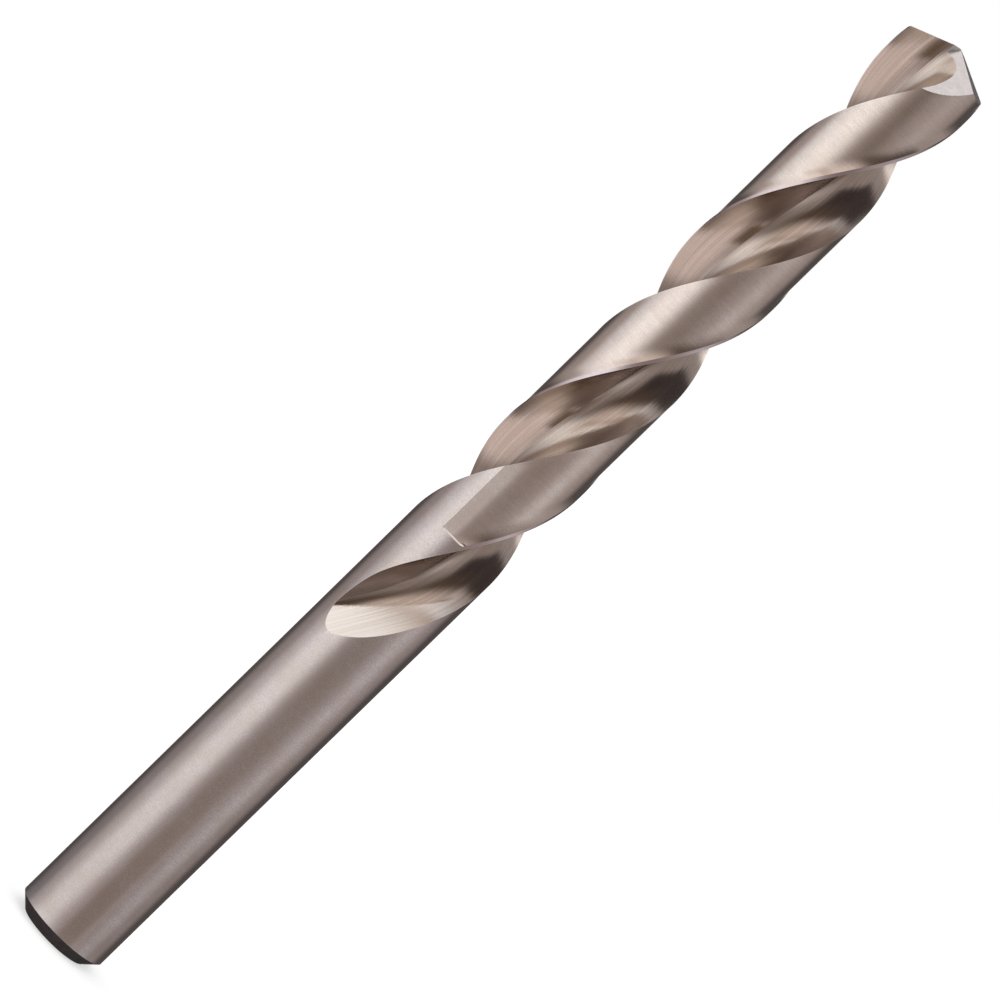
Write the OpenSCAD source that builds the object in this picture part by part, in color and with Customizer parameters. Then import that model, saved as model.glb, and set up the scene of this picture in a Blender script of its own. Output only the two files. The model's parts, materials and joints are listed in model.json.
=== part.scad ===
// Twist drill bit, jobber length, with a straight shank and two right-hand flutes.
// Millimetres. The axis is +Z, the shank end stands on z = 0 and the tip points up.
// At the point the two cutting lips run along X, and each cuts towards +Y at +X and -Y at -X.

/* [Overall] */
// Cutting diameter, measured over the margins at the point
drill_d = 13; // [12.8:0.1:14]
// Overall length from the shank end to the tip
overall_l = 151; // [140:1:165]
// Length from the tip back to where the flutes run out
flute_l = 101; // [95:1:110]

/* [Shank] */
// Shank diameter, just under the cutting diameter
shank_d = 12.9; // [12.5:0.05:13]
// Chamfer round the shank end
end_chamfer = 1.6; // [0.5:0.1:2.5]

/* [Flutes] */
// Helix angle at the margins
helix_deg = 33.3; // [28:0.1:38]
// Thickness of the web, the core between the flutes, at the point
web_t = 2.2; // [1.8:0.1:2.6]
// Growth of the web thickness for each millimetre back from the point
web_growth = 0.018; // [0.012:0.001:0.024]
// How far each cutting lip lies ahead of the axis
lip_ahead = 0.85; // [0.6:0.05:1.1]
// Direction in which a flute was ground towards the axis, measured from its lip
grind_deg = 68; // [64:0.5:74]
// Radius of the bottom of a flute, from the rake wall round to the heel wall
root_fillet = 4.4; // [3.8:0.1:4.8]
// Direction of the heel wall, measured from the bottom of the flute
heel_deg = 60.5; // [56:0.5:70]
// Radius of the grinding wheel, which printed its shape at the end of the flute
wheel_r = 51; // [40:1:60]
// Angle between the wheel and the axis of the drill
wheel_deg = 34.8; // [32:0.2:37]
// Length over which the flute passes into the print of the wheel
runout_blend = 2.9; // [1:0.1:4]

/* [Lands] */
// Width of the margin, the narrow strip that keeps the full diameter
margin_w = 0.85; // [0.5:0.05:1.5]
// Depth of the body clearance behind the margin
clearance_h = 0.26; // [0.15:0.01:0.4]
// Length of the body clearance, from the tip back to its step
clearance_l = 82.7; // [78:0.1:84]
// Width of the body clearance where it starts, as an angle behind the leading edge
clearance_deg = 34; // [25:1:40]

/* [Point] */
// Angle between the two cutting lips
point_deg = 135; // [125:1:140]
// Slope of the flank behind each lip
lip_relief_deg = 15.5; // [12:0.5:18]
// Slope of the gash that thins the web and takes away the heel of each land
gash_deg = 49; // [45:1:52]
// Direction in which the gash climbs to the tip, measured from the lip
gash_turn_deg = 59.5; // [56:0.5:64]
// Direction of the gash wall that ends at the inner end of each lip
gash_wall_deg = 30; // [24:1:36]
// Length of the chisel edge left between the two gashes
chisel_w = 0.3; // [0.2:0.05:0.6]

/* [Hidden] */
$fa = 3;
$fs = 0.2;
flutes = 2;
outer_r = drill_d / 2;
shank_r = shank_d / 2;
body_r = outer_r - clearance_h;
lead = PI * drill_d / tan(helix_deg);
turn = 360 / lead;                    // degrees of helix for each millimetre of length
lip_fall = 1 / tan(point_deg / 2);    // fall of a lip for each millimetre outwards
lip_reach = sqrt(outer_r * outer_r - lip_ahead * lip_ahead);
corner_deg = asin(lip_ahead / outer_r);
corner_z = overall_l - lip_fall * lip_reach + tan(lip_relief_deg) * lip_ahead;
runout_z = overall_l - flute_l;
clearance_z = overall_l - clearance_l;
cutter_out = 2;                       // how far every cutter reaches outside the blank
ring_step = lead / 50;                // length between two rings of a helical cutter
rake_steps = 6;
root_steps = 8;
land_steps = 5;

// Half of the web thickness at height z
function web_r(z) = web_t / 2 + web_growth / 2 * (corner_z - z);

// Angle of the rake wall at radius r in the section through the lip corners.
// It is the section of the helical surface that a straight lip sweeps.
function rake_deg(r) =
    asin(lip_ahead / r) - turn * lip_fall * (lip_reach - sqrt(r * r - lip_ahead * lip_ahead));

// Distance of the rake wall at radius r from the axis, along the grind direction
function rake_depth(r) = r * cos(grind_deg - rake_deg(r));

// Radius at which the rake wall reaches the bottom of the flute, by halving
function root_radius(low, high, n) =
    n == 0 ? (low + high) / 2 :
    rake_depth((low + high) / 2) > web_t / 2 ?
        root_radius(low, (low + high) / 2, n - 1) :
        root_radius((low + high) / 2, high, n - 1);

root_r = root_radius(lip_ahead * 1.05, outer_r, 24);
rake_top_r = outer_r + cutter_out;

// Section of one flute as [depth from the axis, offset towards the rake side]
rake_side = [
    for (i = [0 : rake_steps])
        let (r = root_r + (rake_top_r - root_r) * pow(i / rake_steps, 1.25))
        let (a = grind_deg - rake_deg(r))
        [r * cos(a), r * sin(a)]
];
root_side = [
    for (i = [root_steps : -1 : 1])
        let (a = heel_deg * i / root_steps)
        rake_side[0] + root_fillet * [1 - cos(a), -sin(a)]
];
heel_top = root_side[0] + outer_r * [sin(heel_deg), -cos(heel_deg)];
outside = [2 * outer_r, 0];
flute_section = concat([outside, heel_top], root_side, rake_side);

// At the end of the flute the wheel stopped, so its own print is left there. Below the full
// depth by d, a point of the section lies shifted along the wheel and lifted by its radius.
function print_lift(p, d) =
    let (along = d / cos(wheel_deg))
    along * (along + 2 * p[1] * sin(wheel_deg)) / (2 * wheel_r);
function section_point(p, z, d) = [
    p[0] + web_r(z) - web_t / 2 + print_lift(p, d),
    p[1] + d * tan(wheel_deg)
];

// How far below the full depth a point of the section comes out of the shank, by halving
function print_length(p, low, high, n) =
    n == 0 ? low :
    norm(section_point(p, runout_z, (low + high) / 2)) > shank_r ?
        print_length(p, low, (low + high) / 2, n - 1) :
        print_length(p, (low + high) / 2, high, n - 1);

// Height down to which the flute has its full depth, so that its print ends at runout_z.
// The change from one to the other is a hyperbola, which print_depth follows.
print_l = max([for (p = root_side) print_length(p, 0, 3 * drill_d, 20)]);
full_depth_z = runout_z + print_l - runout_blend * runout_blend / (4 * print_l);
function print_depth(z) = (full_depth_z - z + norm([full_depth_z - z, runout_blend])) / 2;

function flute_point(p, z) =
    let (d = print_depth(z))
    let (q = section_point(p, z, d))
    let (a = grind_deg + turn * (z + d - corner_z))
    [q[0] * cos(a) + q[1] * sin(a), q[0] * sin(a) - q[1] * cos(a), z];

// Angle of the leading edge of a land at height z, carried along by the growth of the web
function leading_deg(z) =
    corner_deg
    + (web_r(z) - web_t / 2) * sin(grind_deg - corner_deg) / outer_r * 180 / PI
    + turn * (z - corner_z);

// Heights of the rings of a helical cutter
function heights(z0, z1) =
    let (n = ceil((z1 - z0) / ring_step))
    [for (i = [0 : n]) z0 + (z1 - z0) * i / n];

// Closed skin over a stack of level rings that all have the same number of points
module skin(rings) {
    n = len(rings[0]);
    last = len(rings) - 1;
    sides = [
        for (k = [0 : last - 1], i = [0 : n - 1])
            let (j = (i + 1) % n)
            each [
                [k * n + j, k * n + i, (k + 1) * n + i],
                [k * n + j, (k + 1) * n + i, (k + 1) * n + j]
            ]
    ];
    bottom = [for (i = [0 : n - 1]) i];
    top = [for (i = [0 : n - 1]) last * n + n - 1 - i];
    polyhedron(
        points = [for (ring = rings) each ring],
        faces = concat(sides, [bottom, top]),
        convexity = 10
    );
}

// What the flute wheel takes away, from below the run-out to above the tip
module flute_cutter() {
    skin([
        for (z = heights(runout_z - 3 * cutter_out, overall_l + cutter_out))
            [for (p = flute_section) flute_point(p, z)]
    ]);
}

// The strip of the land that is ground below the margin. Its rear edge first runs
// straight along the drill, then it lies beyond the heel of the land.
module clearance_cutter() {
    margin_deg = margin_w / outer_r * 180 / PI;
    land_deg = 360 / flutes - 80;
    straight_deg = leading_deg(clearance_z) - clearance_deg;
    difference() {
        skin([
            for (z = heights(clearance_z, overall_l + cutter_out))
                let (front = leading_deg(z) - margin_deg)
                let (rear = max(leading_deg(z) - land_deg, straight_deg))
                [
                    for (i = [0 : 2 * land_steps + 1])
                        let (outward = i > land_steps)
                        let (k = outward ? 2 * land_steps + 1 - i : i)
                        let (a = front + (rear - front) * k / land_steps)
                        let (r = outward ? outer_r + cutter_out : body_r - cutter_out / 2)
                        [r * cos(a), r * sin(a), z]
                ]
        ]);
        translate([0, 0, clearance_z - cutter_out])
            cylinder(r = body_r, h = clearance_l + 3 * cutter_out);
    }
}

// Everything above a plane through the tip that falls towards the given direction
module above_plane(fall_turn, slope) {
    size = 4 * drill_d;
    translate([0, 0, overall_l])
        rotate([0, 0, fall_turn])
            rotate([0, slope, 0])
                translate([-size / 2, -size / 2, 0])
                    cube(size);
}

// Flank of the lip at +X
module flank_cutter() {
    across = tan(lip_relief_deg);
    above_plane(-atan2(across, lip_fall), atan(norm([lip_fall, across])));
}

// Gash behind the flank: a steep floor, ended by a wall just beside the axis
module gash_cutter() {
    size = 4 * drill_d;
    intersection() {
        above_plane(gash_turn_deg - 180, gash_deg);
        translate([0, 0, overall_l - size / 2])
            rotate([0, 0, gash_wall_deg - 180])
                translate([-size / 2, chisel_w / 2, 0])
                    cube(size);
    }
}

// The blank before any flute is ground: a straight shank, then a back taper that makes
// the body a little thicker towards the point
module blank() {
    rotate_extrude()
        polygon([
            [0, 0],
            [shank_r - end_chamfer, 0],
            [shank_r, end_chamfer],
            [shank_r, runout_z],
            [outer_r, corner_z],
            [outer_r, overall_l + cutter_out],
            [0, overall_l + cutter_out]
        ]);
}

module twist_drill() {
    color("rosybrown")
        difference() {
            blank();
            for (k = [0 : flutes - 1])
                rotate([0, 0, 360 / flutes * k]) {
                    flute_cutter();
                    clearance_cutter();
                    flank_cutter();
                    gash_cutter();
                }
        }
}

twist_drill();
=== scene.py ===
# %% [markdown]
# # A twist drill, ground from one bar
#
# A twist drill is one piece of hard steel. A round bar is ground to size, two flutes are ground
# along a helix, the lands between them are ground a little smaller behind a narrow margin, and
# last the point is ground flat by flat. This lesson builds it in the same order. The CAD solid
# fixes every size, so the first cell loads it.

# %% Load the frame
import json
import math
import bmesh
import bpy
import numpy as np
from mathutils import Matrix, Vector

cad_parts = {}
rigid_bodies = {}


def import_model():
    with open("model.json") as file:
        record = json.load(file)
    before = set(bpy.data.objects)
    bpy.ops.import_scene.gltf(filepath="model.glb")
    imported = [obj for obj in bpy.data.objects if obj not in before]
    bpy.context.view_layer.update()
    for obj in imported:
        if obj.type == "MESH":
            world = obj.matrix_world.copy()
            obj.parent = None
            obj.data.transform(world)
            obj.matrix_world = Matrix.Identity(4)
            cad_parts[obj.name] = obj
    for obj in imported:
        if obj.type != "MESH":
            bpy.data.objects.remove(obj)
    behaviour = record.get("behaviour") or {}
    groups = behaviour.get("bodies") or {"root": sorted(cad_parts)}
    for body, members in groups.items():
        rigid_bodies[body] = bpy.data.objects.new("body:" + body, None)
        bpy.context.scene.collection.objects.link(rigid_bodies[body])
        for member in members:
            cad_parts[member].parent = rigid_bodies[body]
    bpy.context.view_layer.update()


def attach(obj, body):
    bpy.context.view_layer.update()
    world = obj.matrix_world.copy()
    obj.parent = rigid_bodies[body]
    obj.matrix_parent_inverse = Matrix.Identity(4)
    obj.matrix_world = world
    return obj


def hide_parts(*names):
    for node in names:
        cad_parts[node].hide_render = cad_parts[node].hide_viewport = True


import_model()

# %% [markdown]
# ## The sizes
#
# These are the sizes of the solid, in millimetres and degrees. The finer mesh is made from the
# same numbers and the same formulas, only with smaller steps, so both have one form. Only the
# margin is narrower here, because a soft hollow follows it, where the solid has a plain step.
# The axis is Z, the shank end stands on the floor and the tip points up.

# %% Sizes of the drill
MM = 0.001
OUTER_R, SHANK_R, LENGTH = 6.5, 6.45, 151.0
END_CHAMFER = 1.6
HELIX = math.radians(33.3)
WEB_T, WEB_GROWTH = 2.2, 0.018
LIP_AHEAD = 0.85
GRIND = math.radians(68)
ROOT_FILLET, HEEL_WALL = 4.4, math.radians(60.5)
WHEEL_R, WHEEL = 51.0, math.radians(34.8)
RUNOUT_BLEND = 2.9
MARGIN_W, CLEARANCE_H = 0.50, 0.26
CLEARANCE_Z, CLEARANCE_TURN = LENGTH - 82.7, math.radians(34)
POINT, LIP_RELIEF = math.radians(135), math.radians(15.5)
GASH, GASH_TURN, GASH_WALL = math.radians(49), math.radians(59.5), math.radians(30)
CHISEL_W = 0.3
BEYOND = 2.0               # how far the section of the wheel reaches outside the bar

BODY_R = OUTER_R - CLEARANCE_H
RUNOUT_Z = LENGTH - 101.0
TURN = math.tan(HELIX) / OUTER_R                # radians of helix for each millimetre
LIP_FALL = 1 / math.tan(POINT / 2)
LIP_REACH = math.sqrt(OUTER_R ** 2 - LIP_AHEAD ** 2)
CORNER = math.asin(LIP_AHEAD / OUTER_R)
CORNER_Z = LENGTH - LIP_FALL * LIP_REACH + math.tan(LIP_RELIEF) * LIP_AHEAD
print("lead of the helix, mm:", round(2 * math.pi / TURN, 2))
print("lip corners at z:", round(CORNER_Z, 2))

# %% [markdown]
# ## The section of a flute
#
# A flute is ground by a wheel with a formed edge. Its section has three stretches: the rake wall
# that ends in the lip at the point, a round bottom, and a straight heel wall. A point of the
# section has two numbers, its depth from the axis and its offset towards the rake wall. The rake
# wall is calculated from the lip: it is what a straight lip sweeps along the helix.

# %% The section as one curve
def rake_angle(r):
    """Polar angle of the rake wall at radius r, in the section through the lip corners."""
    reach = np.sqrt(r * r - LIP_AHEAD ** 2)
    return np.arcsin(LIP_AHEAD / r) - TURN * LIP_FALL * (LIP_REACH - reach)


def halve(goes_low, low, high, rounds=50):
    """The place between low and high where goes_low(x) turns from true to false."""
    for _ in range(rounds):
        middle = (low + high) / 2
        if goes_low(middle):
            low = middle
        else:
            high = middle
    return (low + high) / 2


def rake_point(r):
    """Depth from the axis and offset of the rake wall at radius r."""
    turned = GRIND - rake_angle(r)
    return np.array([r * np.cos(turned), r * np.sin(turned)])


JUST_OUTSIDE = 1.05        # the search starts at a radius a little larger than LIP_AHEAD
ROOT_R = halve(lambda r: rake_point(r)[0] <= WEB_T / 2, LIP_AHEAD * JUST_OUTSIDE, OUTER_R)
ROOT = rake_point(ROOT_R)
RAKE_L, FILLET_L = OUTER_R + BEYOND - ROOT_R, ROOT_FILLET * HEEL_WALL


def section(s):
    """Section points for the path s: the rake wall below 0, then bottom and heel wall."""
    s = np.atleast_1d(np.asarray(s, float))
    rake = rake_point(np.clip(ROOT_R - s, ROOT_R, None)).T
    a = np.clip(s / ROOT_FILLET, 0, HEEL_WALL)
    bottom = ROOT + ROOT_FILLET * np.stack([1 - np.cos(a), -np.sin(a)], 1)
    past = np.clip(s - FILLET_L, 0, None)[:, None]
    heel = bottom + past * np.array([math.sin(HEEL_WALL), -math.cos(HEEL_WALL)])
    return np.where((s < 0)[:, None], rake, heel)


print("radius where the rake wall meets the bottom, mm:", round(float(ROOT_R), 3))

# %% [markdown]
# ## The run-out
#
# Near the shank the wheel stops and leaves its own round print. Below the full depth the section
# slides along the wheel and is lifted by the wheel's radius, until it comes out of the bar.

# %% Where a section point lies at any height
def web_half(z):
    """Half of the thickness of the web at height z."""
    return WEB_T / 2 + WEB_GROWTH / 2 * (CORNER_Z - z)


def wheel_lift(offset, below):
    """Lift of a section point by the wheel. below is how far above it the full depth ends."""
    along = below / math.cos(WHEEL)
    return along * (along + 2 * offset * math.sin(WHEEL)) / (2 * WHEEL_R)


def printed(points, z, below):
    """Section points at height z. below is how far above it the full depth ends."""
    depth = points[:, 0] + web_half(z) - WEB_T / 2 + wheel_lift(points[:, 1], below)
    return np.stack([depth, points[:, 1] + below * math.tan(WHEEL)], 1)


def print_length(s):
    """How far below the full depth the section point at path s comes out of the shank."""
    return halve(lambda d: np.linalg.norm(printed(section(s), RUNOUT_Z, d)) <= SHANK_R,
                 0, 6 * OUTER_R)


BOTTOM_STEPS = 8
PRINT_L = max(print_length(FILLET_L * i / BOTTOM_STEPS) for i in range(1, BOTTOM_STEPS + 1))
FULL_DEPTH_Z = RUNOUT_Z + PRINT_L - RUNOUT_BLEND ** 2 / (4 * PRINT_L)


def print_depth(z):
    """How far height z lies below the full depth, with a soft start."""
    return (FULL_DEPTH_Z - z + np.hypot(FULL_DEPTH_Z - z, RUNOUT_BLEND)) / 2


def flute_turn(z):
    """Direction in which the flute was ground at height z."""
    return GRIND + TURN * (z + print_depth(z) - CORNER_Z)


def flute_xy(s, z):
    """Flute points for the paths s at height z, which may be one height or one for each path."""
    q = printed(section(s), z, print_depth(z))
    a = flute_turn(z)
    return np.stack([q[:, 0] * np.cos(a) + q[:, 1] * np.sin(a),
                     q[:, 0] * np.sin(a) - q[:, 1] * np.cos(a)], 1)


def leading_angle(z):
    """Polar angle of the leading edge of a land at height z."""
    carried = (web_half(z) - WEB_T / 2) * math.sin(GRIND - CORNER) / OUTER_R
    return CORNER + carried + TURN * (z - CORNER_Z)


print("flutes have their full depth above z:", round(FULL_DEPTH_Z, 2))

# %% [markdown]
# ## One ring of the drill
#
# The body is a stack of rings. Half of a ring has these columns, and the other half repeats
# them: rake wall, bottom with heel wall, the strip that keeps the full size near the shank, a
# step down to the body clearance, the clearance, the hollow up to the margin, and the margin.
# Where a feature ends its columns close up into one point, and the doubles are merged later.

# %% Radius of the land at any angle and height
STEP_W = 0.18              # length of the slanted step where the clearance begins
HOLLOW_W = 1.7             # width of the hollow between the margin and the clearance
REAR_W = 1.6               # width over which the clearance slopes in from its rear edge
REAR_DROP = 0.12           # share of its depth that the clearance has right at that edge
REAR_TURN = 0.012          # width of that edge, in radians
LAND_TURN, HEEL_TURN = math.radians(100), math.radians(80)     # of land and flute, roughly
COLUMNS = {"rake": 16, "bottom": 30, "strip": 24, "rear_step": 3, "clearance": 22,
           "front_step": 8, "margin": 4}


def bar_radius(z):
    """Radius of the bar at height z. From the shank it grows towards the lip corners."""
    back_taper = np.clip((z - RUNOUT_Z) / (CORNER_Z - RUNOUT_Z), 0, 1)
    return SHANK_R + (OUTER_R - SHANK_R) * back_taper


def hollow(t):
    """How far down a hollow corner is at a share t of its width."""
    return 1 - (1 - np.clip(t, 0, 1)) ** 2


def land_radius(a, z, rear, front):
    """Radius of a land at polar angle a: full size up to rear, ground down from there to front."""
    down = np.clip((z - CLEARANCE_Z) / STEP_W + 0.5, 0, 1)
    slope = REAR_DROP + (1 - REAR_DROP) * hollow((a - rear) * OUTER_R / REAR_W)
    down = down * slope * (a > rear) * hollow((front - a) * OUTER_R / HOLLOW_W)
    return bar_radius(z) - (bar_radius(z) - BODY_R) * down


def polar(point, near):
    """Polar angle of a point, on the turn that lies nearest to the given angle."""
    a = math.atan2(point[1], point[0])
    return a + 2 * math.pi * round((near - a) / (2 * math.pi))


print("columns in a ring:", 2 * sum(COLUMNS.values()))

# %% [markdown]
# ## Where a flute ends
#
# At the end of the wheel's print the flute is only a scratch on the bar, and then it is gone.
# That height is found by halving, and below it all columns of the flute close up in one point.

# %% Where the flute comes out of the bar
PATH_POINTS = 500          # how many places of the path are tried
SEARCH_BELOW, SEARCH_ABOVE = 3, 6      # the end is looked for round RUNOUT_Z, this far
NEAR = 0.001               # heights closer than this count as one, in millimetres


def deepest(z):
    """Path and radius of the point of the flute that lies nearest to the axis at height z."""
    s = np.linspace(-RAKE_L, FILLET_L + OUTER_R, PATH_POINTS)
    r = np.linalg.norm(flute_xy(s, z), axis=1)
    k = int(r.argmin())
    return float(s[k]), float(r[k])


CLOSED_Z = halve(lambda z: deepest(z)[1] >= bar_radius(z),
                 RUNOUT_Z - SEARCH_BELOW, RUNOUT_Z + SEARCH_ABOVE)
CLOSED_S = deepest(CLOSED_Z)[0]
CLOSED_A = polar(flute_xy(CLOSED_S, CLOSED_Z)[0], leading_angle(CLOSED_Z))
print("the flutes run out at z:", round(CLOSED_Z, 2))

# %% One ring
def edges_of_land(z, lead_a):
    """Polar angles of the rear edge of the clearance, and of its front edge at the margin."""
    next_lead = lead_a + math.pi
    rear = next_lead - CLEARANCE_TURN
    if z > CLEARANCE_Z:
        fixed = leading_angle(CLEARANCE_Z) + math.pi - CLEARANCE_TURN
        rear = max(fixed, next_lead - LAND_TURN)
    return rear, next_lead - MARGIN_W / OUTER_R


def edges_of_flute(z):
    """Path and polar angle of the leading edge, then those of the heel, at height z."""
    middle = deepest(z)[0]
    s_lead = halve(lambda s: np.linalg.norm(flute_xy(s, z)) <= bar_radius(z), middle, -RAKE_L)
    lead_a = polar(flute_xy(s_lead, z)[0], leading_angle(z))
    rear, front = edges_of_land(z, lead_a)

    def heel_angle(s):
        return polar(flute_xy(s, z)[0], lead_a + HEEL_TURN)

    def within(s):
        return np.linalg.norm(flute_xy(s, z)) <= land_radius(heel_angle(s), z, rear, front)

    s_heel = halve(within, middle, FILLET_L + OUTER_R)
    return s_lead, lead_a, s_heel, heel_angle(s_heel)


def ring(z):
    """All points of the ring at height z, in millimetres."""
    closed = z < CLOSED_Z + 4 * NEAR
    s_lead, lead_a, s_heel, heel_a = ((CLOSED_S, CLOSED_A) * 2) if closed else edges_of_flute(z)
    rear, front = edges_of_land(z, lead_a)
    crease = min(max(0.0, s_lead), s_heel)
    s = np.concatenate([np.linspace(s_lead, crease, COLUMNS["rake"], endpoint=False),
                        np.linspace(crease, s_heel, COLUMNS["bottom"], endpoint=False)])
    flute = flute_xy(s, z)
    chamfer = max(0.0, END_CHAMFER - z)
    if closed:
        point = (bar_radius(z) - chamfer) * np.array([[math.cos(CLOSED_A), math.sin(CLOSED_A)]])
        flute = np.tile(point, (len(s), 1))
    stops = [heel_a, rear, rear + REAR_TURN, front - HOLLOW_W / OUTER_R, front, lead_a + math.pi]
    stops = np.clip(np.maximum.accumulate(stops), heel_a, lead_a + math.pi)
    names = ["strip", "rear_step", "clearance", "front_step", "margin"]
    a = np.concatenate([np.linspace(stops[i], stops[i + 1], COLUMNS[name], endpoint=False)
                        for i, name in enumerate(names)])
    r = land_radius(a, z, rear, front) - chamfer
    land = np.stack([r * np.cos(a), r * np.sin(a)], 1)
    half = np.concatenate([flute, land])
    both = np.concatenate([half, -half])
    return np.column_stack([both, np.full(len(both), z)])


print("points in a ring:", len(ring(100.0)))

# %% [markdown]
# ## The heights of the rings
#
# Rings lie about half a millimetre apart where the flutes turn, and closer where the wheel came
# out and where the clearance begins. On the plain shank a few rings are enough.

# %% Stack the rings into a closed mesh
SHANK_RINGS, PRINT_RINGS, STEP_RINGS, BODY_RINGS = 20, 70, 7, 200
SHANK_START = 4                    # height of the first ring above the chamfer
SHANK_GAP, PRINT_GAP, BODY_GAP, STEP_GAP = 1.5, 0.02, 0.4, 0.1     # room between the groups
PRINT_SPAN, CROWDING = 15, 1.7     # the rings of the print crowd towards its lower end
OVER_TIP = 1.2                     # the stack reaches over the tip, until the point is cut
shank_z = [0.0, END_CHAMFER, CLOSED_Z,
           *np.linspace(SHANK_START, CLOSED_Z - SHANK_GAP, SHANK_RINGS)]
print_z = list(CLOSED_Z + PRINT_GAP + PRINT_SPAN * np.linspace(0, 1, PRINT_RINGS) ** CROWDING)
step_z = list(np.linspace(CLEARANCE_Z - STEP_W / 2, CLEARANCE_Z + STEP_W / 2, STEP_RINGS))
body_z = [z for z in np.linspace(print_z[-1] + BODY_GAP, LENGTH + OVER_TIP, BODY_RINGS)
          if abs(z - CLEARANCE_Z) > STEP_W / 2 + STEP_GAP]
heights = sorted(shank_z + print_z + step_z + body_z)
rings = np.array([ring(z) for z in heights])
COUNT = rings.shape[1]
print("rings:", len(heights), " points:", rings.shape[0] * COUNT)

# %% [markdown]
# ## From rings to a closed skin
#
# Two rings in a row are joined by a band of faces. Each face also remembers which wheel ground
# it, as a material number: shank, land, flute, flank, gash, the chamfered end, or the margin,
# which is the narrow strip that rubs in the hole. Each of them gets its own finish later.

# %% Skin the rings
SHANK, LAND, FLUTE, FLANK, GASH, END, MARGIN = range(7)
kind_of_name = {"rake": FLUTE, "bottom": FLUTE, "strip": SHANK, "margin": MARGIN}
kind_of_column = [kind_of_name.get(name, LAND)
                  for name, count in COLUMNS.items() for _ in range(count)] * 2
MERGE = 2e-7               # points closer than this are merged, in metres


def kind_of_face(z, column):
    """Material number of the face that starts at height z in a column."""
    if z < END_CHAMFER - NEAR:
        return END
    if z < CLOSED_Z - NEAR:
        return SHANK
    kind = kind_of_column[column]
    return SHANK if z < CLEARANCE_Z - STEP_W and kind in (LAND, MARGIN) else kind


def tube(name):
    """A closed mesh through all the rings."""
    mesh = bpy.data.meshes.new(name)
    bm = bmesh.new()
    verts = [bm.verts.new(Vector(p) * MM) for p in rings.reshape(-1, 3)]
    for k in range(len(heights) - 1):
        for i in range(COUNT):
            j = (i + 1) % COUNT
            face = bm.faces.new([verts[k * COUNT + i], verts[k * COUNT + j],
                                 verts[(k + 1) * COUNT + j], verts[(k + 1) * COUNT + i]])
            face.material_index = kind_of_face(heights[k], i)
    bottom = bm.faces.new([verts[i] for i in reversed(range(COUNT))])
    bottom.material_index = END
    top = bm.faces.new([verts[(len(heights) - 1) * COUNT + i] for i in range(COUNT)])
    top.material_index = FLANK
    bmesh.ops.remove_doubles(bm, verts=bm.verts, dist=MERGE)
    bmesh.ops.dissolve_degenerate(bm, edges=bm.edges, dist=MERGE / 2)
    bm.to_mesh(mesh)
    open_edges = sum(1 for e in bm.edges if len(e.link_faces) != 2)
    print("skin:", len(bm.faces), "faces,", open_edges, "open edges")
    bm.free()
    return mesh


print("kinds of surface along a ring:", sorted(set(kind_of_column)))

# %% [markdown]
# ## The point
#
# The point is ground with flat cuts: a flank behind each lip, and behind it a steep gash that
# thins the web. Each cut is a large block whose one face is the ground facet. Blender's Boolean
# modifier takes the blocks away and carries their material number over to the new facets.

# %% Blocks for the flats of the point
def block(name, planes, kind, size=4 * OUTER_R):
    """The part of a cube round the tip that lies behind all the planes."""
    bm = bmesh.new()
    bmesh.ops.create_cube(bm, size=size)
    for normal, distance in planes:
        normal = Vector(normal).normalized()
        cut = bmesh.ops.bisect_plane(bm, geom=bm.verts[:] + bm.edges[:] + bm.faces[:],
                                     plane_co=normal * distance, plane_no=normal, clear_outer=True)
        rim = [g for g in cut["geom_cut"] if isinstance(g, bmesh.types.BMEdge)]
        bmesh.ops.edgeloop_fill(bm, edges=rim)
    for face in bm.faces:
        face.material_index = kind
    bmesh.ops.recalc_face_normals(bm, faces=bm.faces)
    bmesh.ops.translate(bm, verts=bm.verts, vec=(0, 0, LENGTH))
    bmesh.ops.scale(bm, verts=bm.verts, vec=(MM, MM, MM))
    mesh = bpy.data.meshes.new(name)
    bm.to_mesh(mesh)
    bm.free()
    return mesh


# Each plane is a normal and a distance from the tip.
across = math.tan(LIP_RELIEF)
flank_plane = ((-LIP_FALL, across, -1), 0.0)
gash_slope = math.tan(GASH)
gash_plane = ((math.cos(GASH_TURN) * gash_slope, math.sin(GASH_TURN) * gash_slope, -1), 0.0)
wall_plane = ((-math.sin(GASH_WALL), math.cos(GASH_WALL), 0), -CHISEL_W / 2)
cuts = [("flank", [flank_plane], FLANK), ("gash", [gash_plane, wall_plane], GASH)]

print("cuts at the point:", [name for name, _, _ in cuts], "made twice, half a turn apart")

# %% Grind the point
finish_names = ["shank_steel", "land_steel", "flute_steel", "flank_steel", "gash_steel",
                "end_steel", "margin_steel"]
finishes = [bpy.data.materials.new(name) for name in finish_names]

body = bpy.data.objects.new("drill_body", tube("drill_body"))
bpy.context.scene.collection.objects.link(body)
for finish in finishes:
    body.data.materials.append(finish)

blocks = []
for name, planes, kind in cuts:
    for turned in (0, 1):
        piece = bpy.data.objects.new(f"{name}_{turned}", block(f"{name}_{turned}", planes, kind))
        piece.rotation_euler = (0, 0, math.pi * turned)
        for finish in finishes:
            piece.data.materials.append(finish)
        bpy.context.scene.collection.objects.link(piece)
        blocks.append(piece)
        cut = body.modifiers.new(piece.name, "BOOLEAN")
        cut.operation, cut.solver, cut.object = "DIFFERENCE", "EXACT", piece
        cut.material_mode = "TRANSFER"

bpy.context.view_layer.update()
evaluated = body.evaluated_get(bpy.context.evaluated_depsgraph_get())
ground = bpy.data.meshes.new_from_object(evaluated)
body.modifiers.clear()
body.data = ground
for piece in blocks:
    bpy.data.objects.remove(piece)
print("ground body:", len(ground.polygons), "faces")
print("materials:", [m.name for m in ground.materials])
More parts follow.
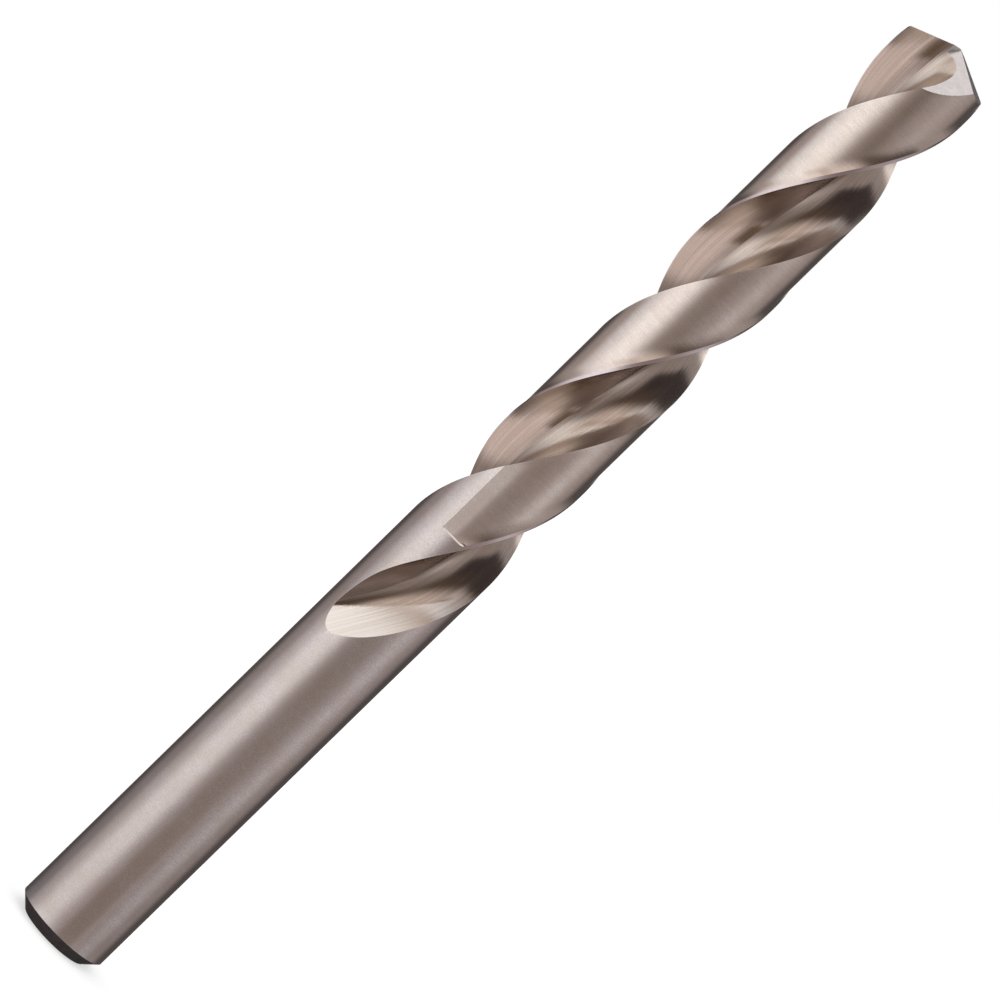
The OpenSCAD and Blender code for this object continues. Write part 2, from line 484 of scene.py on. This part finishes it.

# %% [markdown]
# ## Sharp edges
#
# A ground edge is crisp, so the shading must break there: at the leading edges, the heels, the
# lips and the flats of the point. Edges also rub bright in use, and a painted highlight along them
# stands in for the light they catch. A number on each point of the mesh, 1 on a sharp edge and 0
# elsewhere, lets the materials find them.

# %% Mark the sharp edges
BREAK_ANGLE, WORN_LIT_ANGLE = math.radians(15), math.radians(25)
bm = bmesh.new()
bm.from_mesh(ground)
bmesh.ops.remove_doubles(bm, verts=bm.verts, dist=MERGE)
for edge in bm.edges:
    beside = {f.material_index for f in edge.link_faces}
    flat = beside & {FLANK, GASH, END}
    flute_border = FLUTE in beside and len(beside) > 1
    edge.smooth = not (edge.calc_face_angle(0.0) > BREAK_ANGLE or flat or flute_border)
for face in bm.faces:
    face.smooth = True
print("open edges:", sum(1 for e in bm.edges if len(e.link_faces) != 2))
print("volume, cm3:", round(bm.calc_volume() * 1e6, 3))
# The number marks the points that get the rubbed edge colour: partly wear, partly a painted
# highlight.
sharp = bm.verts.layers.float.new("edge")
for vert in bm.verts:
    turns = [e.calc_face_angle(0.0) for e in vert.link_edges if not e.smooth]
    vert[sharp] = 1.0 if max(turns, default=0.0) > WORN_LIT_ANGLE else 0.0
print("points on sharp edges:", sum(1 for v in bm.verts if v[sharp] > 0))
bm.to_mesh(ground)
bm.free()

# %% [markdown]
# ## The direction of the grinding
#
# Ground steel is covered with fine parallel scratches, and they make its look: a highlight is
# drawn out across them. Every corner of the mesh gets two things: its place across and along
# the scratches, in millimetres, and the direction across them. On the bar the scratches run
# round it. In a flute and in the wheel's print they follow the lines of equal path, so the path
# of a corner is worked out backwards from its place.

# %% Place and direction of the scratches at every corner
NUDGE = 0.05               # half of the height between two points on one scratch
OTHER_FLUTE = 40.0         # shift that gives the second flute other marks than the first
SCRATCH_TURN = {FLANK: math.radians(80), GASH: math.radians(110)}


def unit(vectors):
    """The vectors at length one."""
    return vectors / np.maximum(np.linalg.norm(vectors, axis=1, keepdims=True), 1e-9)


def path_at(p):
    """Path along the flute section for points p, and whether they are in the second flute."""
    x, y, z = p.T
    a = flute_turn(z)
    q0, q1 = x * np.cos(a) + y * np.sin(a), x * np.sin(a) - y * np.cos(a)
    turned = q0 < 0
    q0, q1 = np.where(turned, -q0, q0), np.where(turned, -q1, q1)
    below = print_depth(z)
    offset = q1 - below * math.tan(WHEEL)
    depth = q0 - (web_half(z) - WEB_T / 2) - wheel_lift(offset, below)
    a_in = np.arcsin(np.clip((ROOT[1] - offset) / ROOT_FILLET, -1, 1))
    past = (ROOT[1] - ROOT_FILLET * math.sin(HEEL_WALL) - offset) / math.cos(HEEL_WALL)
    s = np.where(offset > ROOT[1], ROOT_R - np.hypot(depth, offset),
                 np.where(past > 0, FILLET_L + past, ROOT_FILLET * a_in))
    return s, turned


corner_point = np.empty(len(ground.loops), int)
ground.loops.foreach_get("vertex_index", corner_point)
points = np.empty(len(ground.vertices) * 3)
ground.vertices.foreach_get("co", points)
p = points.reshape(-1, 3)[corner_point] / MM
normals = np.empty(len(ground.loops) * 3)
ground.corner_normals.foreach_get("vector", normals)
normals = normals.reshape(-1, 3)
sizes = np.empty(len(ground.polygons), int)
ground.polygons.foreach_get("loop_total", sizes)
face_kinds = np.empty(len(ground.polygons), int)
ground.polygons.foreach_get("material_index", face_kinds)
kinds = np.repeat(face_kinds, sizes)

grain = np.stack([p[:, 2], p[:, 0], p[:, 1]], 1)
line = np.stack([-p[:, 1], p[:, 0], np.zeros(len(p))], 1)
inside = kinds == FLUTE
s, turned = path_at(p[inside])
z = p[inside, 2]
grain[inside] = np.stack([s, z, np.where(turned, OTHER_FLUTE, 0.0)], 1)
follow = np.column_stack([flute_xy(s, z + NUDGE) - flute_xy(s, z - NUDGE),
                          np.full(len(z), 2 * NUDGE)])
follow[turned, :2] *= -1
line[inside] = follow
for kind, angle in SCRATCH_TURN.items():
    flat = kinds == kind
    run = np.array([math.cos(angle), math.sin(angle), 0.0])
    cross = np.cross(run, [0, 0, 1.0])
    grain[flat] = np.stack([p[flat] @ cross, p[flat] @ run, p[flat, 2]], 1)
    line[flat] = run
comb = unit(np.cross(normals, line))

for name, values in (("grain", grain), ("comb", comb)):
    layer = ground.attributes.new(name, "FLOAT_VECTOR", "CORNER")
    layer.data.foreach_set("vector", values.astype(np.float32).ravel())
print("corners in the flutes:", int(inside.sum()), "of", len(p))

# %% [markdown]
# ## True normals
#
# A mirror shows every small error of a mesh, and ground steel is nearly a mirror. Where the real
# surface is known, its normals are calculated instead of averaged from the faces. The bar is
# exactly round. The print of the wheel is straight from side to side, and ends in a crease.

# %% Normals of the round bar and of the step
# The step slants by the same angle all along, also where the clearance is shallow. Its corners
# are those that lie near its height and face upwards.
STEP_SLANT, STEP_REACH, FACES_UP = math.radians(45), STEP_W / 2 + 0.01, 0.1
height = p[:, 2]
face_of = np.repeat(np.arange(len(sizes)), sizes)
path = np.zeros(len(p))
path[inside] = s
mean_path = (np.bincount(face_of, path) / sizes)[face_of]
radial = unit(np.stack([p[:, 0], p[:, 1], np.zeros(len(p))], 1))
true = normals.copy()
on_bar = (kinds == SHANK) & (height < CLEARANCE_Z - STEP_W)
true[on_bar] = radial[on_bar]
on_step = (kinds == LAND) & (abs(height - CLEARANCE_Z) < STEP_REACH) & (normals[:, 2] > FACES_UP)
true[on_step] = radial[on_step] * math.cos(STEP_SLANT)
true[on_step, 2] = math.sin(STEP_SLANT)
print("corners on the bar:", int(on_bar.sum()), "and on the step:", int(on_step.sum()))

# %% Normals of the wheel's print and of the flutes
# The crease starts at a path and a height near the lower end of the print, and rises from there
# towards the heel. The facet beyond it has one tilt. Further up, the heel wall leans a little
# less than the section says. The print is painted nearly white, partly as fresh metal and partly
# as a painted highlight, and above it the heel wall is painted lighter, as painted reflected
# light.
FACE_TILT, PRINT_TOP, PRINT_FULL = math.radians(38), 64.0, 60.0
CREASE_PATH, CREASE_START, CREASE_RISE, CREASE_SOFT = 0.45, 52.3, 0.44, 0.12
HEEL_EASE, EASE_START, EASE_FULL = math.radians(11), 1.5, 4.5
HEEL_LIGHT_PART, HEEL_LIGHT_START, HEEL_LIGHT_FULL, HEEL_LIGHT_FADE = 0.35, 3.0, 5.0, 6.0


def smooth_share(value, start, end):
    """Share that grows softly from 0 where value is start to 1 where it is end."""
    t = np.clip((value - start) / (end - start), 0, 1)
    return t * t * (3 - 2 * t)


from_crease = path - CREASE_PATH - CREASE_RISE * (height - CREASE_START)
print_share = smooth_share(height, PRINT_TOP, PRINT_FULL)
print_share = print_share * smooth_share(from_crease, -CREASE_SOFT, CREASE_SOFT)
lean = np.clip(path / ROOT_FILLET, 0, HEEL_WALL)
lean = lean - HEEL_EASE * smooth_share(path, EASE_START, EASE_FULL)
lean = lean * (1 - print_share) + FACE_TILT * print_share
a = flute_turn(height)
a = np.where(path_at(p)[1], a + math.pi, a)
across_face = np.stack([np.sin(lean) * np.cos(a) - np.cos(lean) * np.sin(a),
                        np.sin(lean) * np.sin(a) + np.cos(lean) * np.cos(a),
                        np.zeros(len(p))], 1)
eased = unit(np.cross(line, across_face))
eased *= np.sign((eased * normals).sum(1))[:, None]
share = np.where(inside & (mean_path > 0), 1.0, 0.0)[:, None]
true = unit(true * (1 - share) + eased * share)
ground.normals_split_custom_set([tuple(v) for v in true])
print_share = print_share * share[:, 0]
# Painted reflected light: the heel wall above the print gets a part of the lighter colour.
heel_light_share = HEEL_LIGHT_PART * smooth_share(path, HEEL_LIGHT_START, HEEL_LIGHT_FULL)
heel_light_share = heel_light_share * smooth_share(height, PRINT_TOP, PRINT_TOP + HEEL_LIGHT_FADE)
# The lighter colour is fresh metal and a painted highlight in the print, and painted reflected
# light on the heel wall.
fresh_and_lit_share = np.maximum(print_share, heel_light_share * inside)
layer = ground.attributes.new("fresh_and_lit_share", "FLOAT", "CORNER")
layer.data.foreach_set("value", fresh_and_lit_share.astype(np.float32))
print("corners in the wheel's print:", int((print_share > 0).sum()))

# %% [markdown]
# ## The piece in the frame
#
# The fine body stands for the one solid of the CAD model. It keeps the solid's place and size,
# and rides on the one rigid body of the drill.

# %% Place the piece
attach(body, "root")
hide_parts("twist_drill")
print("fine body:", body.name, tuple(round(v / MM, 2) for v in body.dimensions), "mm")

# %% [markdown]
# ## Helpers for node trees
#
# Materials are built from nodes in code. These helpers make a node, set or link its inputs, and
# give a group its named inputs and outputs. The kinds of node that are needed most have a helper
# of their own.

# %% Helpers for any node
def group_sockets(tree, inputs, outputs):
    """Give a group its inputs, each (name, kind, value), and its outputs, each (name, kind)."""
    for name, kind, value in inputs:
        socket = tree.interface.new_socket(name, in_out="INPUT", socket_type=kind)
        socket.default_value = value
    for name, kind in outputs:
        tree.interface.new_socket(name, in_out="OUTPUT", socket_type=kind)


def node(tree, kind, links=None, **settings):
    """A new node. links maps an input to a value or to another node's output."""
    made = tree.nodes.new(kind)
    for key, value in settings.items():
        setattr(made, key, value)
    for key, value in (links or {}).items():
        if isinstance(value, bpy.types.NodeSocket):
            tree.links.new(value, made.inputs[key])
        else:
            made.inputs[key].default_value = value
    return made


def sockets_of(tree, direction):
    """Names of the inputs or the outputs of a group."""
    return [s.name for s in tree.interface.items_tree if s.in_out == direction]


print("helpers for any node:", [f.__name__ for f in (group_sockets, node, sockets_of)])

# %% Helpers for the nodes that are needed most
def maths(tree, operation, *values, clamp=False):
    """Output of a new Math node."""
    made = node(tree, "ShaderNodeMath", dict(enumerate(values)),
                operation=operation, use_clamp=clamp)
    return made.outputs[0]


def weighted(tree, first, first_share, second, second_share):
    """Sum of two values, each times its share."""
    return maths(tree, "ADD", maths(tree, "MULTIPLY", first, first_share),
                 maths(tree, "MULTIPLY", second, second_share))


def remap(tree, value, low, high, to_low=0.0, to_high=1.0, **settings):
    """A value that runs from to_low to to_high while the given one runs from low to high."""
    return node(tree, "ShaderNodeMapRange", {
        "Value": value, "From Min": low, "From Max": high,
        "To Min": to_low, "To Max": to_high}, **settings).outputs[0]


def stored(tree, name, output="Fac"):
    """A number that is stored on the mesh, or a direction for the output Vector."""
    return node(tree, "ShaderNodeAttribute", attribute_name=name).outputs[output]


def noise(tree, vector, scale, detail):
    """Output of a new Noise Texture node."""
    return node(tree, "ShaderNodeTexNoise", {"Vector": vector, "Scale": scale, "Detail": detail,
                                             "Roughness": 0.6}).outputs["Fac"]


def in_millimetres(tree):
    """Place on the piece in millimetres, which moves along with the piece."""
    place = node(tree, "ShaderNodeTexCoord").outputs["Object"]
    return node(tree, "ShaderNodeVectorMath", {0: place, "Scale": 1 / MM},
                operation="SCALE").outputs[0]


def blend(tree, share, below, above):
    """Colour below where share is 0, above where it is 1. Each colour is a value or a socket."""
    made = node(tree, "ShaderNodeMix", {0: share}, data_type="RGBA")
    for index, colour in ((6, below), (7, above)):
        if isinstance(colour, bpy.types.NodeSocket):
            tree.links.new(colour, made.inputs[index])
        else:
            made.inputs[index].default_value = (*colour, 1)
    return made.outputs[2]


helpers = (maths, weighted, remap, stored, noise, in_millimetres, blend)
print("helpers for one kind of node:", [f.__name__ for f in helpers])

# %% [markdown]
# ## Marks of the grinding wheel
#
# Every surface of the drill was ground, so one node group makes the marks for all of them:
# lines along the grinding, broader bands where the wheel bit unevenly, the fine grit of its
# surface, and faint clouds where oil and heat have tinted the steel. It puts out four values,
# and each finish mixes them in its own way.

# %% The group of grinding marks
# Each octave has its share of the number of lines, and a shift along them that sets it apart.
OCTAVES = ((1.0, 0.0), (0.37, 31.0), (0.12, 67.0))
CLOUDS_PER_MM = 0.22
marks = bpy.data.node_groups.new("grinding_marks", "ShaderNodeTree")
group_sockets(marks,
              [("Lines per mm", "NodeSocketFloat", 5.0), ("Length mm", "NodeSocketFloat", 8.0),
               ("Grit per mm", "NodeSocketFloat", 6.0)],
              [("Lines", "NodeSocketFloat"), ("Bands", "NodeSocketFloat"),
               ("Grit", "NodeSocketFloat"), ("Clouds", "NodeSocketFloat")])
enter, leave = node(marks, "NodeGroupInput"), node(marks, "NodeGroupOutput")
place = node(marks, "ShaderNodeSeparateXYZ", {0: stored(marks, "grain", "Vector")})
per_length = maths(marks, "DIVIDE", 1.0, enter.outputs["Length mm"])
octaves = []
for share, shift in OCTAVES:
    across_lines = maths(marks, "MULTIPLY", place.outputs[0],
                         maths(marks, "MULTIPLY", enter.outputs["Lines per mm"], share))
    along_first = maths(marks, "MULTIPLY_ADD", place.outputs[1], per_length, shift)
    along_second = maths(marks, "MULTIPLY", place.outputs[2], per_length)
    vector = node(marks, "ShaderNodeCombineXYZ",
                  {0: across_lines, 1: along_first, 2: along_second}).outputs[0]
    octaves.append(noise(marks, vector, scale=1.0, detail=2.0))
lines = weighted(marks, octaves[0], 0.5, octaves[1], 0.5)
in_mm = in_millimetres(marks)
grit = noise(marks, in_mm, enter.outputs["Grit per mm"], detail=1.0)
clouds = noise(marks, in_mm, CLOUDS_PER_MM, detail=3.0)
for name, value in (("Lines", lines), ("Bands", octaves[2]), ("Grit", grit), ("Clouds", clouds)):
    marks.links.new(value, leave.inputs[name])
print("grinding_marks puts out", sockets_of(marks, "OUTPUT"))

# %% [markdown]
# ## Rubbed edges, partly a painted highlight
#
# The edges of a drill are touched by everything, so they are a little brighter than the faces
# beside them, in places more and in places less: partly wear, and partly a painted highlight for
# the light that sharp edges catch. The group turns the edge numbers of the mesh into an uneven
# mask.

# %% The group of rubbed edges with a painted highlight
# The edge mask is partly wear and partly a painted highlight along the sharp edges.
WEAR_AND_LIGHT_PER_MM = 1.4
LEAST_WEAR_AND_LIGHT = 0.4                   # share of the wear that no sharp edge goes without
worn_lit_edges = bpy.data.node_groups.new("rubbed_and_lit_edge", "ShaderNodeTree")
group_sockets(worn_lit_edges, [("Amount", "NodeSocketFloat", 0.5)], [("Mask", "NodeSocketFloat")])
enter, leave = node(worn_lit_edges, "NodeGroupInput"), node(worn_lit_edges, "NodeGroupOutput")
edge = stored(worn_lit_edges, "edge")
uneven = noise(worn_lit_edges, in_millimetres(worn_lit_edges), WEAR_AND_LIGHT_PER_MM, detail=2.0)
uneven = remap(worn_lit_edges, uneven, low=0.35, high=0.65)
worn_and_lit = maths(worn_lit_edges, "MULTIPLY", maths(worn_lit_edges, "MULTIPLY", edge, edge),
             maths(worn_lit_edges, "MULTIPLY_ADD", uneven, 1 - LEAST_WEAR_AND_LIGHT, LEAST_WEAR_AND_LIGHT))
worn_and_lit = maths(worn_lit_edges, "MULTIPLY", worn_and_lit, enter.outputs["Amount"], clamp=True)
worn_lit_edges.links.new(worn_and_lit, leave.inputs["Mask"])
print("rubbed_and_lit_edge puts out", sockets_of(worn_lit_edges, "OUTPUT"))

# %% [markdown]
# ## A finish of ground steel
#
# All finishes are one metal, so one function builds them. The marks choose between a lighter and
# a darker tone, the clouds add a warm stain, and the rubbed edges are brighter, partly from wear
# and partly as a painted highlight. The same marks drive the roughness and the bump. Grinding
# lines stretch every highlight across themselves, which is what Anisotropic does, and the stored
# direction across the lines is its Tangent.

# %% Build one finish
LINES_PART = 0.65                  # share of the fine lines in the grain, the rest are bands
# The lighter colour is partly fresh metal and partly a painted highlight in the print, and painted
# reflected light on the heel walls.
FRESH_LIT_DARK = 0.88                  # how the darker tone of fresh metal follows from the lighter
# Colour of the rubbed edges: partly wear, partly a painted highlight.
WORN_LIT_EDGE_COLOUR = (0.88, 0.84, 0.83)
ROUGH_VARIES = 0.05                # how far the marks change the roughness, up and down


def ground_steel(material, colour, dark, stain, rough, lines, length, bump, aniso,
                 grit=0.3, stained=0.5, edge=0.4, fresh_lit_colour=None):
    """Give a material its lighter and darker tone, its stain, its marks and its roughness."""
    material.use_nodes = True
    tree = material.node_tree
    tree.nodes.clear()
    cut = node(tree, "ShaderNodeGroup", {"Lines per mm": lines, "Length mm": length},
               node_tree=marks)
    worn_and_lit = node(tree, "ShaderNodeGroup", {"Amount": edge}, node_tree=worn_lit_edges).outputs[0]
    grain = weighted(tree, cut.outputs["Lines"], LINES_PART, cut.outputs["Bands"], 1 - LINES_PART)
    tone = weighted(tree, grain, 1 - grit, cut.outputs["Grit"], grit)
    spread = remap(tree, tone, low=0.36, high=0.64)
    patches = remap(tree, cut.outputs["Clouds"], low=0.42, high=0.62, to_high=stained)
    steel = blend(tree, spread, dark, colour)
    steel = blend(tree, patches, steel, stain)
    # Painted light: the print and the heel walls get the lighter colour, the print partly as fresh
    # metal.
    if fresh_lit_colour:
        bright = blend(tree, spread, [c * FRESH_LIT_DARK for c in fresh_lit_colour], fresh_lit_colour)
        steel = blend(tree, stored(tree, "fresh_and_lit_share"), steel, bright)
    # Sharp edges are made lighter: partly wear, partly a painted highlight.
    steel = blend(tree, worn_and_lit, steel, WORN_LIT_EDGE_COLOUR)
    roughness = remap(tree, tone, low=0.3, high=0.7,
                      to_low=rough + ROUGH_VARIES, to_high=rough - ROUGH_VARIES)
    relief = maths(tree, "ADD", cut.outputs["Lines"],
                   maths(tree, "MULTIPLY", cut.outputs["Grit"], grit))
    normal = node(tree, "ShaderNodeBump",
                  {"Strength": 1.0, "Distance": bump * MM, "Height": relief}).outputs[0]
    across = stored(tree, "comb", "Vector")
    shader = node(tree, "ShaderNodeBsdfPrincipled", {
        "Base Color": steel, "Metallic": 1.0, "Roughness": roughness, "Anisotropic": aniso,
        "Normal": normal, "Tangent": across})
    node(tree, "ShaderNodeOutputMaterial", {"Surface": shader.outputs[0]})


# A rubbed edge is partly wear and partly a painted highlight.
print("colour of a rubbed edge:", WORN_LIT_EDGE_COLOUR)

# %% [markdown]
# ## The seven finishes
#
# The shank is grey with a fine grit. The lands are a little lighter, the flutes are bronze from
# the heat treatment and carry long lines. Their heel walls are painted lighter, as painted
# reflected light, and the print of the wheel at their end is painted nearly white, partly as fresh
# metal and partly as a painted highlight. The margins are smooth and faintly pink, the flats of
# the point are cool, and the chamfered end is nearly black. The three colours of a finish are its
# lighter tone, its darker tone and its stain. Lines are counted for each millimetre, and their
# length and the bump are in millimetres.

# %% Give each surface its finish
ground_steel(finishes[SHANK], (0.74, 0.665, 0.645), (0.62, 0.55, 0.53), (0.63, 0.54, 0.49),
             rough=0.21, lines=7.0, length=1.5, bump=0.004, aniso=0.25, grit=0.6)
ground_steel(finishes[LAND], (0.84, 0.74, 0.685), (0.69, 0.60, 0.55), (0.70, 0.59, 0.52),
             rough=0.18, lines=6.0, length=3.0, bump=0.006, aniso=0.25, grit=0.4)
ground_steel(finishes[MARGIN], (0.76, 0.66, 0.67), (0.66, 0.56, 0.57), (0.66, 0.56, 0.57),
             rough=0.16, lines=6.0, length=8.0, bump=0.002, aniso=0.3)
# The flutes' lighter colour is a painted highlight on the print, partly fresh metal, and painted
# reflected light on the heel walls.
ground_steel(finishes[FLUTE], (0.68, 0.58, 0.52), (0.42, 0.345, 0.30), (0.505, 0.42, 0.35),
             rough=0.17, lines=6.0, length=30.0, bump=0.012, aniso=0.3, grit=0.15,
             fresh_lit_colour=(0.90, 0.84, 0.80))
ground_steel(finishes[FLANK], (0.50, 0.41, 0.48), (0.40, 0.33, 0.38), (0.44, 0.34, 0.40),
             rough=0.25, lines=6.0, length=6.0, bump=0.004, aniso=0.3, stained=0.2)
ground_steel(finishes[GASH], (0.62, 0.60, 0.61), (0.53, 0.51, 0.52), (0.58, 0.555, 0.54),
             rough=0.22, lines=6.0, length=6.0, bump=0.004, aniso=0.3, stained=0.3)
# The chamfered end is nearly black.
ground_steel(finishes[END], (0.05, 0.045, 0.045), (0.02, 0.018, 0.017), (0.035, 0.03, 0.027),
             rough=0.38, lines=5.0, length=6.0, bump=0.006, aniso=0.2, edge=0.05)
print("finishes:", [m.name for m in finishes])

# %% [markdown]
# ## The floor
#
# The drill stands on its shank end on a plain pale sheet. The sheet's own colour lights the
# drill from below as paper would. What the camera sees of it is lifted to white through the
# Light Path node, and the soft shadow under the drill stays.

# %% Floor
FLOOR_R, LIFT = 3.0, 0.55          # radius in metres, and how far the camera's view is lifted
PALE, WHITE = (0.8, 0.8, 0.8, 1), (1, 1, 1, 1)


def mirrored(tree, rays):
    """1 for the rays that see something through a mirror or through glass, and 0 for others."""
    return maths(tree, "MAXIMUM", rays.outputs["Is Glossy Ray"],
                 rays.outputs["Is Transmission Ray"])


bpy.ops.mesh.primitive_circle_add(vertices=96, radius=FLOOR_R, fill_type="NGON")
floor = bpy.context.object
floor.name = "floor"
paper = bpy.data.materials.new("paper")
paper.use_nodes = True
tree = paper.node_tree
tree.nodes.clear()
seen = node(tree, "ShaderNodeLightPath")
sheet = node(tree, "ShaderNodeBsdfDiffuse", {"Color": PALE})
lift = node(tree, "ShaderNodeEmission", {"Color": WHITE, "Strength": LIFT})
both = node(tree, "ShaderNodeAddShader", {0: sheet.outputs[0], 1: lift.outputs[0]})
lifted = maths(tree, "MAXIMUM", seen.outputs["Is Camera Ray"], mirrored(tree, seen))
pick = node(tree, "ShaderNodeMixShader", {0: lifted, 1: sheet.outputs[0], 2: both.outputs[0]})
node(tree, "ShaderNodeOutputMaterial", {"Surface": pick.outputs[0]})
floor.data.materials.append(paper)
floor.visible_glossy = False
print("floor radius in metres:", round(floor.dimensions.x / 2, 2))

# %% [markdown]
# ## The studio
#
# Steel has hardly a colour of its own: what one sees in it is the room. The bright and dark
# bands on a photographed drill are soft boxes, sheets of card and the dark corner round the
# camera. So the world holds sixteen soft cards, each given by its bearing, its height over the
# horizon and its size. Only mirrored rays see them. The camera sees white, and everything else
# is lit evenly.

# %% The group of one soft card
card = bpy.data.node_groups.new("soft_card", "ShaderNodeTree")
group_sockets(card,
              [("Bearing", "NodeSocketFloat", 0.0), ("Height", "NodeSocketFloat", 0.0),
               ("Half width", "NodeSocketFloat", 0.5), ("Half height", "NodeSocketFloat", 0.5),
               ("Feather", "NodeSocketFloat", 0.2)],
              [("Mask", "NodeSocketFloat")])
enter, leave = node(card, "NodeGroupInput"), node(card, "NodeGroupOutput")
look = node(card, "ShaderNodeSeparateXYZ",
            {0: node(card, "ShaderNodeTexCoord").outputs["Generated"]})
bearing = maths(card, "ARCTAN2", look.outputs[1], look.outputs[0])
rise = maths(card, "ARCSINE", look.outputs[2])
beside = maths(card, "SUBTRACT", bearing, enter.outputs["Bearing"])
beside = maths(card, "WRAP", beside, math.pi, -math.pi)
above = maths(card, "SUBTRACT", rise, enter.outputs["Height"])
masks = []
for offset, half in ((beside, "Half width"), (above, "Half height")):
    distance = maths(card, "ABSOLUTE", offset)
    near = maths(card, "SUBTRACT", enter.outputs[half], enter.outputs["Feather"])
    far = maths(card, "ADD", enter.outputs[half], enter.outputs["Feather"])
    masks.append(remap(card, distance, near, far, to_low=1.0, to_high=0.0,
                       interpolation_type="SMOOTHSTEP"))
card.links.new(maths(card, "MULTIPLY", *masks), leave.inputs["Mask"])
print("soft_card takes", sockets_of(card, "INPUT"))

# %% The cards of this studio
SPOT = -103.67                     # bearing from which the photograph was taken, in degrees
ROOM = (0.37, 0.33, 0.32)          # colour of the room between the cards
# Name and colour, then in degrees the bearing from the camera, height, half width, half height
# and feather. A later card covers an earlier one.
CARDS = [
    ("pale sheet below", (0.96, 0.87, 0.86), -7, -65, 74, 42, 16),
    ("soft box on the left", (1.08, 1.10, 1.14), -56, 24, 40, 28, 16),
    ("middle of the soft box", (1.21, 1.22, 1.22), -46, 12, 24, 23, 16),
    ("tan sheet above the soft box", (0.25, 0.16, 0.10), -45, 33, 15, 23, 6),
    ("top of the soft box", (1.05, 1.02, 0.99), -88, 44, 42, 32, 6),
    ("strip on the right", (0.80, 0.78, 0.80), 75, -8, 17, 6, 16),
    ("floor in front", (0.18, 0.13, 0.09), 22, -21, 21, 9, 6),
    ("dark card over the camera", (0.05, 0.04, 0.04), 34, 41, 38, 25, 6),
    ("dark card beside the camera", (0.11, 0.08, 0.06), 2, 21, 30, 18, 16),
    ("dark card behind", (0.09, 0.08, 0.08), 175, 5, 54, 50, 16),
    ("pale strip straight behind", (0.60, 0.57, 0.56), 180, -12, 9, 22, 8),
    ("strip high on the right", (1.45, 1.39, 1.38), 118, 46, 13, 12, 6),
    ("dark floor on the left", (0.01, 0.05, 0.09), -118, -21, 16, 8, 8),
    ("tan sheet in the middle", (0.88, 0.78, 0.73), -24, 24, 23, 13, 16),
    ("dark sheet low on the right", (0.01, 0.01, 0.01), 80, -25, 28, 10, 9),
    ("pale ceiling", (1.05, 1.00, 0.97), 0, 90, 180, 18, 5),
]
print("cards:", len(CARDS))

# %% World
EVEN_LIGHT = 0.7                   # brightness for the rays that light the scene
world = bpy.data.worlds.new("studio")
bpy.context.scene.world = world
world.use_nodes = True
tree = world.node_tree
tree.nodes.clear()
level = node(tree, "ShaderNodeRGB").outputs[0]
level.default_value = (*ROOM, 1)
for name, colour, bearing, rise, wide, high, feather in CARDS:
    mask = node(tree, "ShaderNodeGroup", node_tree=card, label=name)
    for key, value in (("Bearing", SPOT + bearing), ("Height", rise), ("Half width", wide),
                       ("Half height", high), ("Feather", feather)):
        mask.inputs[key].default_value = math.radians(value)
    level = blend(tree, mask.outputs[0], level, colour)
rays = node(tree, "ShaderNodeLightPath")
plain = maths(tree, "MULTIPLY_ADD", rays.outputs["Is Camera Ray"], 1 - EVEN_LIGHT, EVEN_LIGHT)
around = blend(tree, mirrored(tree, rays), plain, level)
sky = node(tree, "ShaderNodeBackground", {"Color": around, "Strength": 1.0})
node(tree, "ShaderNodeOutputWorld", {"Surface": sky.outputs[0]})
print("nodes in the world:", len(tree.nodes))

# %% [markdown]
# ## The camera
#
# The photograph looks at the drill from the side and slightly from above, with the shank at the
# lower left and the tip at the upper right, so the camera is rolled about its own axis. A long
# lens keeps the outline nearly parallel. Place, lens and roll were found by laying the outline
# of the solid over the photograph.

# %% Camera
TILT, LEANING = math.radians(3.66), math.radians(44.3)     # above the horizon, and the roll
DISTANCE, TARGET_Z = 0.5, 74.04 * MM
FOCAL, SHIFT_X, SHIFT_Y = 151.3, 0.0056, 0.0050
scene = bpy.context.scene
spot = math.radians(SPOT)
lens = bpy.data.cameras.new("camera")
camera = bpy.data.objects.new("camera", lens)
scene.collection.objects.link(camera)
scene.camera = camera
away = Vector((math.cos(TILT) * math.cos(spot), math.cos(TILT) * math.sin(spot), math.sin(TILT)))
target = Vector((0, 0, TARGET_Z))
camera.location = target + away * DISTANCE
side = Vector((-math.sin(spot), math.cos(spot), 0))
along = away.cross(side)
right = along * math.cos(LEANING) + side * math.sin(LEANING)
up = away.cross(right)
camera.matrix_world = Matrix((
    (right.x, up.x, away.x, camera.location.x),
    (right.y, up.y, away.y, camera.location.y),
    (right.z, up.z, away.z, camera.location.z),
    (0, 0, 0, 1)))
lens.sensor_width = 36
lens.lens = FOCAL
lens.shift_x = SHIFT_X
lens.shift_y = SHIFT_Y

scene.view_settings.view_transform = "Standard"
print("camera at", [round(v, 3) for v in camera.location], "lens", lens.lens, "mm")
